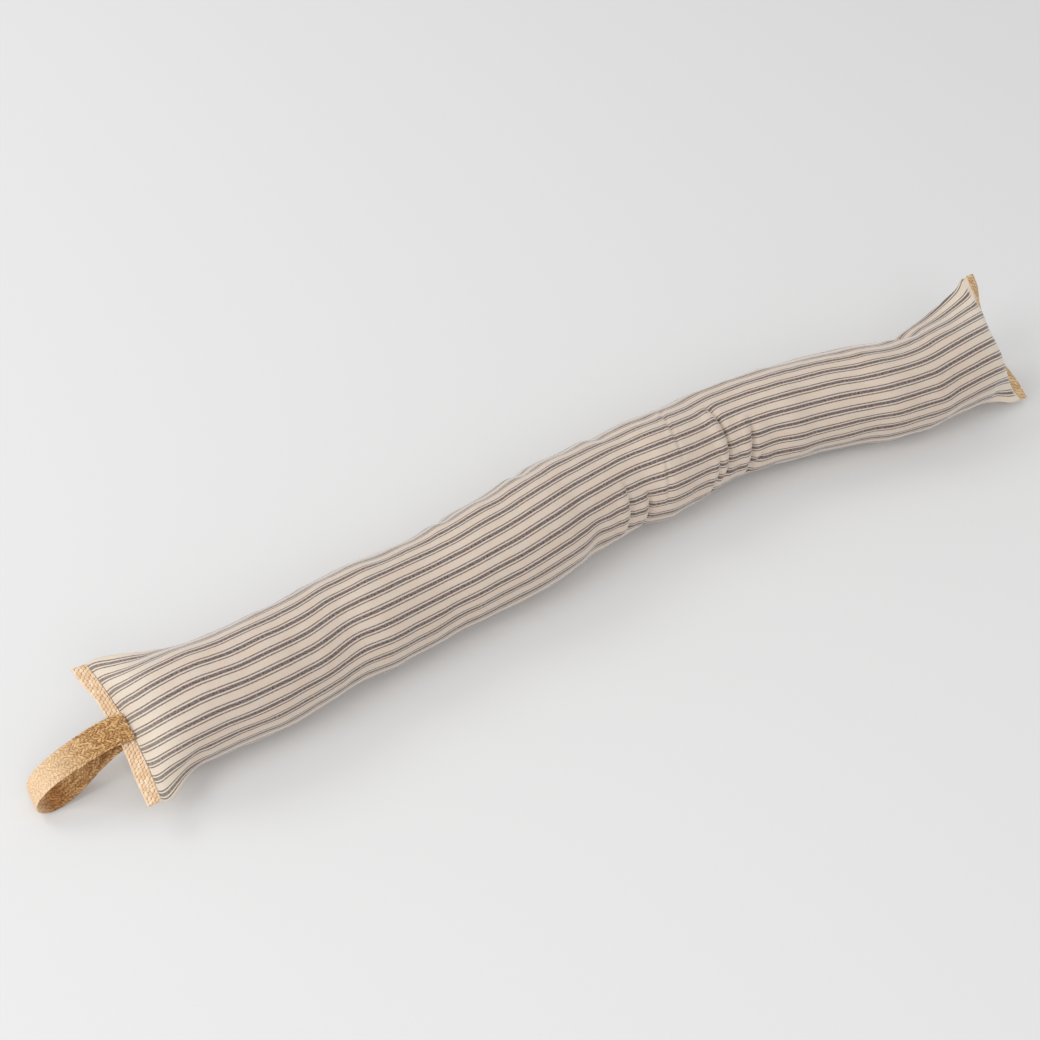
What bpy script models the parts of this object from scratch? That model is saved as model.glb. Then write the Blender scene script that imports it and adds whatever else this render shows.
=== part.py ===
"""Draught excluder: a long filled tube of ticking cloth, sewn flat across both ends.

The maker's pieces are the filled cover, a strip of ribbed jute webbing bound along each
end seam, and a carrying loop of wider jute webbing. The loop is one doubled band, whose
two ends are sewn over and under the middle of one binding.

The cover is a sleeve of one girth all along. It is a thin tilted lens at each end seam and
an upright oval, flat underneath, between them. Creases cross it where the filling gives way.
"""
import math
from collections import namedtuple

import bmesh
import bpy
from mathutils import Vector

MM = 0.001

# Driving sizes, in millimetres. X runs along the tube from the loop's end, Y to the back.
# The squareness, fade, share and crease numbers are powers and places in half widths.
GAP = 0.3
TUBE_WIDTH = 95.0
TUBE_HEIGHT = 84.0
BELLY_HEIGHT = 40.5
UNDERSIDE_SQUARENESS = 2.4
UNDERSIDE_PRESS = 1.6
SEAM_THICKNESS = 3.4
CROWN_SQUARENESS = 2.1
CROWN_EDGE = 0.8
STRAIGHT_BACK_PLACE = 0.6
SEAM_FADE = 3.0
EAR_SPREAD_PLACE = 10.0
EAR_SHARE = 3.0
LIP_PLACE = 1.7
LIP_WIDTH = 1.1
CREASE_ENDS = 0.6
BINDING_RIBS = 5
BINDING_CORE = 1.3
BINDING_RIB_HEIGHT = 0.45
LOOP_WIDTH = 25.0
LOOP_THICKNESS = 2.6
LOOP_EDGE_ROUNDING = 1.2

# How the cloth lies on the round tube. Angles are degrees up from the front horizontal,
# over the top and down the back. The cloth's front fold meets the seam's front corner.
FRONT_FOLD_ANGLE = -27.5

# How finely the shapes are cut.
RING_POINTS = 36
PLAIN_STEP = 13.0
FINE_STEP = 3.4
END_STEP = 1.8
END_STEP_GROWTH = 0.16
CREASE_STEP_GROWTH = 0.5
DEEP_CREASE = 3.0
POINTS_PER_RIB = 3
BINDING_STATIONS = 17
LOOP_STEPS = 3
AHEAD = 0.05
SHARP_ANGLE = 60.0

# End seams: the middle of the seam's corners, half the width between them, how the seam
# leans to the back and skews in plan, in degrees, how far its middle is drawn inwards and
# what share of that is missing in its back half, and the length over which the flat seam
# swells to the round tube, with the powers of that swelling in the seam's middle and how
# far in the cloth still lies nearly flat.
Seam = namedtuple(
    "Seam",
    "x y z half_width tilt skew draw straight_back inward taper crown crown_root flat front_ear back_ear",
)

# The flat ears of cloth at the seam's corners: how far the cloth spreads past the corner,
# the length over which the ear grows round, and how late along it that happens.
Ear = namedtuple("Ear", "spread taper delay")
LOOP_END = Seam(
    x=-5.4, y=-0.5, z=44.0, half_width=65.4, tilt=16.8, skew=3.3, draw=5.5, straight_back=0.0,
    inward=1, taper=72, crown=1.6, crown_root=1.0, flat=5.0,
    front_ear=Ear(4.6, 48, 1.0), back_ear=Ear(2.4, 75, 1.0),
)
FAR_END = Seam(
    x=898.0, y=0.4, z=50.0, half_width=66.6, tilt=40.8, skew=2.9, draw=12.0, straight_back=0.95,
    inward=-1, taper=60, crown=2.1, crown_root=2.1, flat=0.6,
    front_ear=Ear(1.0, 48, 1.0), back_ear=Ear(-2.0, 113, 0.59),
)

# Sections along the tube: how far the middle lies to the back, and the size of the oval
# there against its full size.
Section = namedtuple("Section", "x y fullness")
SECTIONS = (
    Section(-5, 0, 1.03),
    Section(50, 0.4, 1.022),
    Section(90, -1.6, 1.026),
    Section(120, -0.4, 1.033),
    Section(150, 2.9, 1.006),
    Section(185, 8.0, 0.99),
    Section(215, 7.0, 1.014),
    Section(245, 9.0, 0.973),
    Section(280, 12.0, 0.949),
    Section(315, 14.4, 1.012),
    Section(350, 15.8, 1.043),
    Section(390, 21.0, 1.072),
    Section(420, 27.4, 1.038),
    Section(450, 31.0, 1.006),
    Section(485, 34.7, 0.967),
    Section(512, 31.3, 1.022),
    Section(545, 33.5, 0.98),
    Section(590, 38.5, 0.95),
    Section(625, 36.0, 0.962),
    Section(650, 31.0, 0.995),
    Section(670, 29.0, 0.986),
    Section(700, 22.6, 1.0),
    Section(725, 16.5, 1.01),
    Section(745, 8.7, 1.044),
    Section(775, 1.5, 1.005),
    Section(795, -1.5, 0.99),
    Section(820, -0.5, 1.0),
    Section(898, 0.0, 1.02),
)

# Creases in the cover, each a soft trough from (x0, angle0) to (x1, angle1). The bow is how
# far its middle swings to the right, and the lip is the raised cloth on its left.
Crease = namedtuple("Crease", "x0 angle0 x1 angle1 bow depth half_width lip")
CREASES = (
    Crease(579, 96, 571, -8, 3.5, 6.5, 5.0, 2.6),
    Crease(567, 32, 555, -16, 1, 3.4, 4.0, 1.4),
    Crease(611, 62, 600, -22, -2, 5.5, 5.0, 2.0),
    Crease(615, 6, 602, -14, 0, 2.4, 3.5, 0.8),
    Crease(467, 52, 460, -20, 1.5, 4.2, 5.0, 1.6),
    Crease(487, 30, 483, -28, 1, 4.2, 4.6, 1.6),
    Crease(542, 122, 527, 46, 0, 1.8, 5.0, 0.8),
    Crease(510, 60, 503, 10, 0, 1.4, 4.0, 0.6),
    Crease(431, 34, 425, -24, 0, 2.2, 9.0, 0.6),
    Crease(304, 168, 312, 112, 0, 2.0, 7.0, 0.8),
    Crease(388, 168, 393, 118, 0, 1.8, 7.0, 0.5),
    Crease(477, 160, 474, 112, 0, 1.5, 7.0, 0.4),
    Crease(189, 112, 192, 20, 4, 1.4, 14.0, 0.6),
    Crease(772, 176, 816, 118, 0, 3.5, 10.0, 1.2),
    Crease(862, -8, 886, -26, 0, 3.0, 6.0, 1.0),
    Crease(40, 150, 12, 128, 0, 2.2, 7.0, 0.8),
    Crease(44, 0, 14, -18, 0, 2.4, 7.0, 0.8),
)

# Bindings, from the seam's front corner (-1) to its back corner (1): the strip's width, and
# how far its outer edge lifts.
Strip = namedtuple("Strip", "at width lift")
LOOP_END_BINDING = (
    Strip(-1.0, 11.0, 0.0),
    Strip(-0.6, 12.6, -0.8),
    Strip(-0.2, 11.6, 0.6),
    Strip(0.2, 11.4, 0.6),
    Strip(0.5, 11.2, 1.2),
    Strip(0.8, 12.8, 0.2),
    Strip(1.0, 12.4, 1.6),
)
FAR_END_BINDING = (
    Strip(-1.0, 7.6, -1.0),
    Strip(-0.7, 12.0, -2.0),
    Strip(-0.1, 9.0, -6.0),
    Strip(0.45, 5.0, -9.0),
    Strip(0.8, 8.4, -4.0),
    Strip(1.0, 7.0, 0.0),
)

# The loop's course, from its end over the binding round the tip to its end under it:
# the middle of the webbing's thickness, and how far it tilts to the back, in degrees.
Turn = namedtuple("Turn", "x z tilt")
LOOP_COURSE = (
    Turn(-12, 48.2, 16.8),
    Turn(-26, 46.6, 15.0),
    Turn(-44, 42.0, 11.0),
    Turn(-58, 37.2, 7.0),
    Turn(-70, 31.8, 4.0),
    Turn(-80, 24.6, 2.0),
    Turn(-86, 16.4, 0.0),
    Turn(-87, 8.6, 0.0),
    Turn(-83, 3.2, 0.0),
    Turn(-77, 1.3, 0.0),
    Turn(-71, 1.6, 0.0),
    Turn(-62, 4.8, 2.0),
    Turn(-52, 10.6, 4.0),
    Turn(-41, 19.6, 7.0),
    Turn(-27, 31.0, 11.0),
    Turn(-12, 39.6, 15.0),
)

# Colours, as red, green and blue.
TICKING_CREAM = (0.72, 0.66, 0.58)
BLEACHED_JUTE = (0.76, 0.57, 0.37)
BROWN_JUTE = (0.60, 0.38, 0.17)


def mix(a, b, share):
    return a + (b - a) * share


def smooth_value(x, places, values):
    """The value at x on a smooth curve through the values at the given places."""
    x = min(max(x, places[0]), places[-1])
    last = len(places) - 1
    k = min(sum(place <= x for place in places) - 1, last - 1)

    def slope(i):
        before, after = max(i - 1, 0), min(i + 1, last)
        return (values[after] - values[before]) / (places[after] - places[before])

    span = places[k + 1] - places[k]
    t = (x - places[k]) / span
    start, end = slope(k) * span, slope(k + 1) * span
    rise = values[k + 1] - values[k]
    return values[k] + t * (start + t * ((3 * rise - 2 * start - end) + t * (start + end - 2 * rise)))


def column(rows, name):
    return [getattr(row, name) for row in rows]


def from_table(rows, key, name, x):
    return smooth_value(x, column(rows, key), column(rows, name))


def material(name, colour, roughness):
    made = bpy.data.materials.new(name)
    made.use_nodes = True
    shader = made.node_tree.nodes["Principled BSDF"]
    shader.inputs["Base Color"].default_value = (*colour, 1.0)
    shader.inputs["Roughness"].default_value = roughness
    shader.inputs["Metallic"].default_value = 0.0
    return made


def loft(name, rings, finish, parent, collection):
    """A closed solid through rings of points, each from one edge over the top and back."""
    count = len(rings[0])
    half = count // 2
    bm = bmesh.new()
    rows = [[bm.verts.new(point * MM) for point in ring] for ring in rings]
    for row, after in zip(rows, rows[1:]):
        for i in range(count):
            j = (i + 1) % count
            bm.faces.new((row[i], row[j], after[j], after[i]))
    for row in (rows[0], rows[-1]):
        bm.faces.new((row[0], row[1], row[-1]))
        for i in range(1, half - 1):
            bm.faces.new((row[i], row[i + 1], row[-i - 1], row[-i]))
        bm.faces.new((row[half - 1], row[half], row[half + 1]))
    bmesh.ops.recalc_face_normals(bm, faces=bm.faces)
    mesh = bpy.data.meshes.new(name)
    bm.to_mesh(mesh)
    bm.free()
    mesh.shade_smooth()
    mesh.set_sharp_from_angle(angle=math.radians(SHARP_ANGLE))
    mesh.materials.append(finish)
    piece = bpy.data.objects.new(name, mesh)
    collection.objects.link(piece)
    piece.parent = parent
    return piece


def seam_axes(seam):
    """The direction from the seam's front corner to its back one, and its upward normal."""
    tilt, skew = math.radians(seam.tilt), math.radians(seam.skew)
    across = Vector((-math.sin(skew), math.cos(skew) * math.cos(tilt), math.cos(skew) * math.sin(tilt)))
    normal = Vector((0.0, -math.sin(tilt), math.cos(tilt)))
    return across, normal


def ease(t):
    return t * t * (3 - 2 * t)


def seam_point(seam, at, outwards=0.0):
    """A point on the seam, at -1 for its front corner and 1 for its back one, or beyond it."""
    across, _ = seam_axes(seam)
    straight = seam.straight_back * ease(min(max(at / STRAIGHT_BACK_PLACE, 0.0), 1.0))
    inwards = seam.draw * (1 - at * at) * (1 - straight) - outwards
    return Vector((seam.x + seam.inward * inwards, seam.y, seam.z)) + across * seam.half_width * at


def oval_point(angle, y, fullness):
    """A point, as y and z, of the upright oval with its pressed underside."""
    level, rise = math.cos(math.radians(angle)), math.sin(math.radians(angle))
    belly = BELLY_HEIGHT * fullness
    if rise >= 0:
        across, height = level, belly + (TUBE_HEIGHT * fullness - belly) * rise
    else:
        power = 2 / UNDERSIDE_SQUARENESS
        across = math.copysign(abs(level) ** power, level)
        height = max(belly - (belly + UNDERSIDE_PRESS) * abs(rise) ** power, 0.0)
    return y - TUBE_WIDTH / 2 * fullness * across, height


def crease_relief(crease, x, angle):
    """How far the cloth stands out at (x, angle) because of one crease, less than 0 in its trough."""
    girth_per_degree = math.pi * (TUBE_WIDTH + TUBE_HEIGHT) / 2 / 360
    run = Vector((crease.x1 - crease.x0, (crease.angle1 - crease.angle0) * girth_per_degree))
    to_point = Vector((x - crease.x0, (angle - crease.angle0) * girth_per_degree))
    t = to_point.dot(run) / run.length_squared
    if not 0 < t < 1:
        return 0.0
    swing = 4 * t * (1 - t)
    right_of_run = to_point.cross(run) / run.length if run.y > 0 else run.cross(to_point) / run.length
    beside = (right_of_run - crease.bow * swing) / crease.half_width
    trough = math.exp(-beside ** 2)
    bank = math.exp(-((beside + LIP_PLACE) / LIP_WIDTH) ** 2)
    return (crease.lip * bank - crease.depth * trough) * swing ** CREASE_ENDS


def cover_point(x, turn):
    """A point of the cover, turn running from 0 at the front fold over the top to 1."""
    seam = LOOP_END if x < (LOOP_END.x + FAR_END.x) / 2 else FAR_END
    at = 1 - 4 * abs(turn - 0.5)
    side = 1 if turn < 0.5 else -1
    away = abs(x - seam.x)
    ear = seam.back_ear if at > 0 else seam.front_ear
    t = min(away / seam.taper, 1.0)
    ear_swell = ease(min(away / ear.taper, 1.0) ** ear.delay)
    aside = ease(min(abs(at) / CROWN_EDGE, 1.0))
    square, root = mix(seam.crown, CROWN_SQUARENESS, aside), mix(seam.crown_root, CROWN_SQUARENESS, aside)
    crown = (1 - (1 - t) ** square) ** (1 / root) * (1 - math.exp(-away / seam.flat))
    swell = mix(crown, ear_swell, abs(at) ** EAR_SHARE)
    spread = ear.spread * away / EAR_SPREAD_PLACE * math.exp(1 - away / EAR_SPREAD_PLACE)
    across, normal = seam_axes(seam)
    flat = seam_point(seam, at) + normal * side * SEAM_THICKNESS / 2 * math.sqrt(1 - at * at)
    flat += across * at * spread
    angle = FRONT_FOLD_ANGLE + 360 * turn
    middle = from_table(SECTIONS, "x", "y", x)
    fullness = from_table(SECTIONS, "x", "fullness", x)
    y, z = oval_point(angle, middle, fullness)
    relief = sum(crease_relief(crease, x, angle) for crease in CREASES) * swell
    y -= math.cos(math.radians(angle)) * relief
    z += math.sin(math.radians(angle)) * relief
    x += (flat.x - seam.x) * (1 - t) ** SEAM_FADE
    return Vector((x, mix(flat.y, y, swell), max(mix(flat.z, z, swell), 0.0)))


def cover_places():
    """Places of the sections, close together at the ends and at the deeper creases."""
    deep = [crease for crease in CREASES if crease.depth >= DEEP_CREASE]
    places = [LOOP_END.x]
    while places[-1] < FAR_END.x:
        x = places[-1]
        to_end = min(x - LOOP_END.x, FAR_END.x - x)
        to_crease = min(max(min(c.x0, c.x1) - x, x - max(c.x0, c.x1) - max(c.bow, 0), 0) for c in deep)
        near_end = END_STEP + END_STEP_GROWTH * to_end
        near_crease = FINE_STEP + CREASE_STEP_GROWTH * to_crease
        places.append(x + min(near_end, near_crease, PLAIN_STEP))
    stretch = (FAR_END.x - LOOP_END.x) / (places[-1] - LOOP_END.x)
    return [LOOP_END.x + (x - LOOP_END.x) * stretch for x in places]


def cover_rings():
    return [[cover_point(x, i / RING_POINTS) for i in range(RING_POINTS)] for x in cover_places()]


def binding_rings(seam, strip):
    """Sections of a ribbed strip whose inner edge follows the seam at a small gap."""
    _, normal = seam_axes(seam)
    steps = BINDING_RIBS * POINTS_PER_RIB
    rings = []
    for k in range(BINDING_STATIONS):
        at = mix(-1.0, 1.0, k / (BINDING_STATIONS - 1))
        width = from_table(strip, "at", "width", at)
        lift = from_table(strip, "at", "lift", at)
        upper, lower = [], []
        for i in range(steps + 1):
            share = i / steps
            rib = BINDING_RIB_HEIGHT * abs(math.sin(math.pi * BINDING_RIBS * share))
            edge = 0.0 if i in (0, steps) else BINDING_CORE / 2 + rib
            middle = seam_point(seam, at, GAP + width * share) + normal * lift * share ** 2
            upper.append(middle + normal * edge)
            lower.append(middle - normal * edge)
        rings.append(upper + lower[-2:0:-1])
    return rings


def loop_course():
    """The loop's course with both sewn ends added, as rows of one kind."""
    clear = BINDING_CORE / 2 + BINDING_RIB_HEIGHT + GAP + LOOP_THICKNESS / 2
    end = seam_point(LOOP_END, 0.0, 2 * GAP)
    over = Turn(end.x, end.z + clear, LOOP_END.tilt)
    under = Turn(end.x, end.z - clear, LOOP_END.tilt)
    return (over, *LOOP_COURSE, under)


def loop_rings():
    """Sections of the webbing, square to its course and rounded at its two edges."""
    course = loop_course()
    numbers = list(range(len(course)))
    half, thick = LOOP_WIDTH / 2, LOOP_THICKNESS / 2
    flat, bend = half - LOOP_EDGE_ROUNDING, half - LOOP_EDGE_ROUNDING * (1 - math.sqrt(0.5))
    edge = ((-half, 0.0), (-bend, thick * math.sqrt(0.5)), (-flat, thick))
    upper = edge + ((0.0, thick),) + tuple((-y, z) for y, z in reversed(edge))
    outline = upper + tuple((y, -z) for y, z in upper[-2:0:-1])

    def place(k):
        x, z, tilt = (smooth_value(k, numbers, column(course, name)) for name in ("x", "z", "tilt"))
        return Vector((x, 0.0, z)), tilt

    rings = []
    steps = (len(course) - 1) * LOOP_STEPS
    for i in range(steps + 1):
        k = i / LOOP_STEPS
        middle, tilt = place(k)
        ahead = place(min(k + AHEAD, numbers[-1]))[0] - place(max(k - AHEAD, 0))[0]
        skew = math.radians(LOOP_END.skew * tilt / LOOP_END.tilt)
        tilt = math.radians(tilt)
        across = Vector((-math.sin(skew), math.cos(tilt), math.sin(tilt)))
        out = across.cross(ahead).normalized()
        ring = [middle + across * y + out * z for y, z in outline]
        rings.append([Vector((p.x, p.y, max(p.z, 0.0))) for p in ring])
    return rings


def build():
    for old in list(bpy.data.objects):
        bpy.data.objects.remove(old)
    collection = bpy.data.collections.new("draught_excluder")
    bpy.context.scene.collection.children.link(collection)
    stand = bpy.data.objects.new("draught_excluder_middle", None)
    collection.objects.link(stand)

    ticking = material("ticking", TICKING_CREAM, 0.9)
    pale_webbing = material("pale_webbing", BLEACHED_JUTE, 0.85)
    brown_webbing = material("brown_webbing", BROWN_JUTE, 0.85)
    pieces = (
        ("filled_cover", cover_rings(), ticking),
        ("loop_end_binding", binding_rings(LOOP_END, LOOP_END_BINDING), pale_webbing),
        ("far_end_binding", binding_rings(FAR_END, FAR_END_BINDING), brown_webbing),
        ("carry_loop", loop_rings(), brown_webbing),
    )
    points = [point for _, rings, _ in pieces for ring in rings for point in ring]
    for name, rings, finish in pieces:
        loft(name, rings, finish, stand, collection)
    middle = [(min(p[i] for p in points) + max(p[i] for p in points)) / 2 for i in (0, 1)]
    stand.location = (-middle[0] * MM, -middle[1] * MM, 0.0)


build()
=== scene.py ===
"""Looks of a draught excluder: a filled ticking tube, its jute bindings and its carrying loop.

Sizes are millimetres in the frame that the solids are drawn in, with X along the tube from the
loop's end, Y to the back and Z up, and place() turns them into metres in the row frame.
"""
import math

from collections import namedtuple

import bpy
import numpy as np
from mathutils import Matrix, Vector


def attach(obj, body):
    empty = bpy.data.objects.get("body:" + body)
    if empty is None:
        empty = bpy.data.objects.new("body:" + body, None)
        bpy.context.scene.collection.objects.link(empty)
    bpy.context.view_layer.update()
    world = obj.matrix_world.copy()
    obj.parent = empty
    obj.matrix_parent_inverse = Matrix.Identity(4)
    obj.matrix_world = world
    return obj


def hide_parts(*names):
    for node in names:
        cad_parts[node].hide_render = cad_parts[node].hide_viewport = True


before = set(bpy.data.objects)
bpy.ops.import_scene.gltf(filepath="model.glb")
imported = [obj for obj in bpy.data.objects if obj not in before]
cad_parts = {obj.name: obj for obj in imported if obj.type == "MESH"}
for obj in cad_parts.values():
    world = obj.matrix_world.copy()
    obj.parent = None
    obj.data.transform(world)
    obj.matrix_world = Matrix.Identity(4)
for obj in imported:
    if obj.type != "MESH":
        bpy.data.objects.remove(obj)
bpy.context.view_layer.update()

# Metres in a millimetre, and where the drawing's origin lies in the row frame.
MM = 0.001
STAND = np.array([-410.372, -8.839, 0.0])

# Driving sizes, as in the solids.
GAP = 0.3
TUBE_WIDTH = 95.0
TUBE_HEIGHT = 84.0
BELLY_HEIGHT = 40.5
UNDERSIDE_SQUARENESS = 2.4
UNDERSIDE_PRESS = 1.6
SEAM_THICKNESS = 3.4
CROWN_SQUARENESS = 2.1
CROWN_EDGE = 0.8
STRAIGHT_BACK_PLACE = 0.6
SEAM_FADE = 3.0
EAR_SPREAD_PLACE = 10.0
EAR_SHARE = 3.0
LIP_PLACE = 1.7
LIP_WIDTH = 1.1
CREASE_ENDS = 0.6
FRONT_FOLD_ANGLE = -27.5
BINDING_CORE = 1.3
BINDING_RIB_HEIGHT = 0.45
LOOP_WIDTH = 25.0
LOOP_THICKNESS = 2.6

# Where one end's shape gives way to the other's, the lowest angle round the tube, and the part of
# a step along the loop's course over which its direction is taken.
MIDDLE_PLACE = 450.0
LOWEST_ANGLE = -120.0
AHEAD = 0.05

# Sizes that only the looks have: the bindings' gap to the cover, the thinner edge of the cover at
# its seams, the puffed ear at the far back corner, where the lip of a crease leans from, and how
# far a lifted binding sags in its middle.
SEWN_GAP = 0.06
SEAM_EDGE_SHARE = 0.45
SEAM_EDGE_REACH = 6.0
PUFF_HEIGHT = 4.5
PUFF_PLACE = 6.0
PUFF_SHARPNESS = 3.0
PUFF_FROM = 0.8
LEAN_PLACE = 0.9
BINDING_LIFT_SHARE = 0.25

# Seams at both ends: the middle's place, half the width, tilt and skew in degrees, how far the
# edge draws inwards and how straight its back half stays, which way inwards is, and then how the
# tube grows from the seam, at its crown and at its two corners.
Ear = namedtuple("Ear", "spread taper delay")
Seam = namedtuple(
    "Seam",
    "x y z half_width tilt skew draw straight_back inward taper crown crown_root flat "
    "front_ear back_ear",
)
LOOP_END = Seam(
    x=-5.4, y=-0.5, z=44.0, half_width=65.4, tilt=16.8, skew=3.3, draw=5.5, straight_back=0.0,
    inward=1, taper=72, crown=1.6, crown_root=1.0, flat=5.0,
    front_ear=Ear(4.6, 48, 1.0), back_ear=Ear(2.4, 75, 1.0),
)
FAR_END = Seam(
    x=898.0, y=0.4, z=50.0, half_width=66.6, tilt=40.8, skew=2.9, draw=12.0, straight_back=0.95,
    inward=-1, taper=60, crown=2.1, crown_root=2.1, flat=0.6,
    front_ear=Ear(1.0, 48, 1.0), back_ear=Ear(-2.0, 113, 0.59),
)

# Sections: place along the tube, how far its middle lies to the back, and its fullness.
SECTIONS = np.array([
    (-5, 0, 1.03), (50, 0.4, 1.022), (90, -1.6, 1.026), (120, -0.4, 1.033), (150, 2.9, 1.006),
    (185, 8, 0.99), (215, 7, 1.014), (245, 9, 0.973), (280, 12, 0.949), (315, 14.4, 1.012),
    (350, 15.8, 1.043), (390, 21, 1.072), (420, 27.4, 1.038), (450, 31, 1.006), (485, 34.7, 0.967),
    (512, 31.3, 1.022), (545, 33.5, 0.98), (590, 38.5, 0.95), (625, 36, 0.962), (650, 31, 0.995),
    (670, 29, 0.986), (700, 22.6, 1), (725, 16.5, 1.01), (745, 8.7, 1.044), (775, 1.5, 1.005),
    (795, -1.5, 0.99), (820, -0.5, 1), (898, 0, 1.02),
])

# Creases, each a trough from (x0, angle0) to (x1, angle1). The bow is how far its middle swings
# to the right, the lip the raised cloth on its left, and the lean how far that lip hangs over.
Crease = namedtuple("Crease", "x0 angle0 x1 angle1 bow depth half_width lip lean")
CREASES = (
    Crease(579, 96, 571, -8, 3.5, 6.5, 4.2, 2.6, 4.2),
    Crease(567, 32, 555, -16, 1, 3.4, 3.2, 1.4, 2.4),
    Crease(611, 62, 600, -22, -2, 5.5, 4.0, 2.0, 3.0),
    Crease(615, 6, 602, -14, 0, 2.4, 2.8, 0.8, 0.8),
    Crease(467, 52, 460, -20, 1.5, 4.2, 4.4, 1.6, 3.4),
    Crease(487, 30, 483, -28, 1, 4.2, 4.0, 1.6, 3.2),
    Crease(543, 130, 527, 46, -1.5, 1.5, 2.4, 0.8, 0.8),
    Crease(512, 62, 503, 0, -1.0, 1.3, 2.2, 0.7, 0.7),
    Crease(431, 34, 425, -24, 0, 2.2, 9.0, 0.6, 0.0),
    Crease(304, 168, 312, 112, 0, 2.0, 7.0, 0.8, 0.0),
    Crease(388, 168, 393, 118, 0, 1.8, 7.0, 0.5, 0.0),
    Crease(477, 160, 474, 112, 0, 1.5, 7.0, 0.4, 0.0),
    Crease(189, 112, 192, 20, 4, 1.4, 14.0, 0.6, 0.0),
    Crease(772, 176, 816, 118, 0, 3.5, 9.0, 1.2, 0.0),
    Crease(862, -8, 886, -26, 0, 3.0, 5.0, 1.0, 0.0),
    Crease(40, 150, 12, 128, 0, 2.2, 6.0, 0.8, 0.0),
    Crease(44, 0, 14, -18, 0, 2.4, 6.0, 0.8, 0.0),
)

# The ticking's stripes, numbered from the back. A stripe group is repeated round the tube.
STRIPE_REPEAT = 13.5
STRIPES_ROUND = 21.09
FRONT_CORNER_STRIPE = 10.78
SEAM_FRONT_STRIPE = 10.45
SEAM_STRIPES = 9.75
SEAM_STRIPES_REACH = 38.0
MIDDLE_STRIPE = 6.5
SLEEVE_SEAM_TURN = 0.78
SLEEVE_SEAM_DEPTH = 0.8
SLEEVE_SEAM_WIDTH = 2.0
GIRTH = 285.0

# How far the stripes wander from their even places, by place along the tube: a shift of them
# all, and a growth from stripe to stripe, in stripe groups.
WANDER = np.array([
    (10, 0.09, -0.008), (40, 0.01, 0.006), (70, -0.05, -0.02), (100, -0.03, -0.04),
    (130, 0.03, -0.033), (160, 0.06, -0.018), (190, -0.14, -0.019), (220, -0.18, -0.004),
    (250, -0.18, 0.028), (280, -0.15, 0.02), (310, -0.07, -0.025), (340, -0.14, -0.028),
    (370, -0.2, -0.04), (400, -0.21, -0.044), (430, -0.22, -0.019), (460, -0.25, 0.005),
    (490, -0.21, 0.019), (520, -0.19, 0.006), (550, -0.05, 0.014), (580, 0.1, 0.047),
    (610, 0.09, 0.047), (640, 0.11, 0.034), (670, 0.2, 0.037), (700, 0.23, 0.029),
    (730, 0.29, -0.011), (760, 0.11, -0.027), (790, -0.07, 0.012), (820, -0.17, 0.003),
    (850, -0.3, 0.001), (880, -0.32, 0.023),
])

# Bindings, from the seam's front corner (-1) to its back corner (1): the strip's width, and
# how far its outer edge lifts.
LOOP_END_BINDING = np.array([
    (-1, 11, 0), (-0.6, 12.6, -0.8), (-0.2, 11.6, 0.6), (0.2, 11.4, 0.6),
    (0.5, 11.2, 1.2), (0.8, 12.8, 0.2), (1, 12.4, 1.6),
])
FAR_END_BINDING = np.array([
    (-1, 7.6, -1), (-0.7, 12, -2), (-0.1, 9, -6), (0.45, 5, -9),
    (0.8, 10, -4), (1, 8.6, 0),
])

# The loop's course from its end over the binding round the tip to its end under it: x, z and
# how far the webbing tilts to the back, in degrees.
LOOP_COURSE = np.array([
    (-12, 48.2, 16.8), (-26, 46.6, 15), (-44, 42, 11), (-58, 37.2, 7), (-70, 31.8, 4),
    (-80, 24.6, 2), (-86, 16.4, 0), (-87, 8.6, 0), (-83, 3.2, 0), (-77, 1.3, 0),
    (-71, 1.6, 0), (-62, 4.8, 2), (-52, 10.6, 4), (-41, 19.6, 7), (-27, 31, 11),
    (-12, 39.6, 15),
])

# Weaves, in millimetres: the pitch of the cords across the webbing, the length of one float along
# a cord, how far each next cord's floats are shifted, how many cords make one leg of the
# herringbone, how much the floats slant, how high they stand, how unevenly they lie, and from
# which share of the half width the outer edge is a plain selvedge.
Weave = namedtuple("Weave", "pitch float_length shift leg slant depth uneven selvedge")
LOOP_WEAVE = Weave(1.4, 3.0, 0.3, 3, 0.5, 0.62, 0.3, 1.2)
BINDING_WEAVE = Weave(2.9, 3.7, 0.5, 99, 0.3, 0.6, 0.08, 0.78)
WEBBING_STEP = 0.42
CORD_WAVES = 6
CORD_WAVE_LENGTHS = (7, 26)
CORD_WAVE_SPIN = 0.25
CORD_WAVINESS = 0.045
FLOAT_WAVINESS = 0.05
DRIFT_PACE = 0.9
DRIFT_STEP = 5
FLOAT_ROUNDNESS = 0.55
LOWEST_FLOAT = 0.82
TONES = 257
SELVEDGE_HEIGHT = 0.85
SELVEDGE_FADE = 0.1
EDGE_SQUARENESS = 8
SCALLOP_POWER = 6
BINDING_SCALLOP = 0.12
LOOP_SCALLOP = 0.15
LOOP_END_SEED = 21
FAR_END_SEED = 31
LOOP_SEED = 5

# Where the loop's webbing grows paler, where that ends and the painted shade inside its turn
# begins, and where that painted shade stops, in millimetres from its upper end. The paler stretch
# is partly the jute's own colour and partly painted light. Then how strong the paler colour and the
# painted shade are, and how much less painted shade lies between the cords in the paler stretch.
PALE_TIP_IN = (25.0, 85.0)
PALE_TIP_OUT = (104.0, 122.0)
TURN_SHADE_OUT = (124.0, 142.0)
FADED_AND_LIT_SHARE = 0.8
TURN_SHADE_SHARE = 0.5
PALE_TIP_HOLLOWS = 0.45

# Sets of random waves in the filling: their shortest and longest wave along the tube, their most
# turns round it, their height and their number.
Waves = namedtuple("Waves", "shortest longest most_turns height count")
LUMPS = (Waves(34, 80, 5, 0.42, 16), Waves(14, 30, 9, 0.12, 20))
LUMPS_SEED = 11
LOWEST_LUMP = 0.4
LUMPS_SHARE = 0.5

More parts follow.
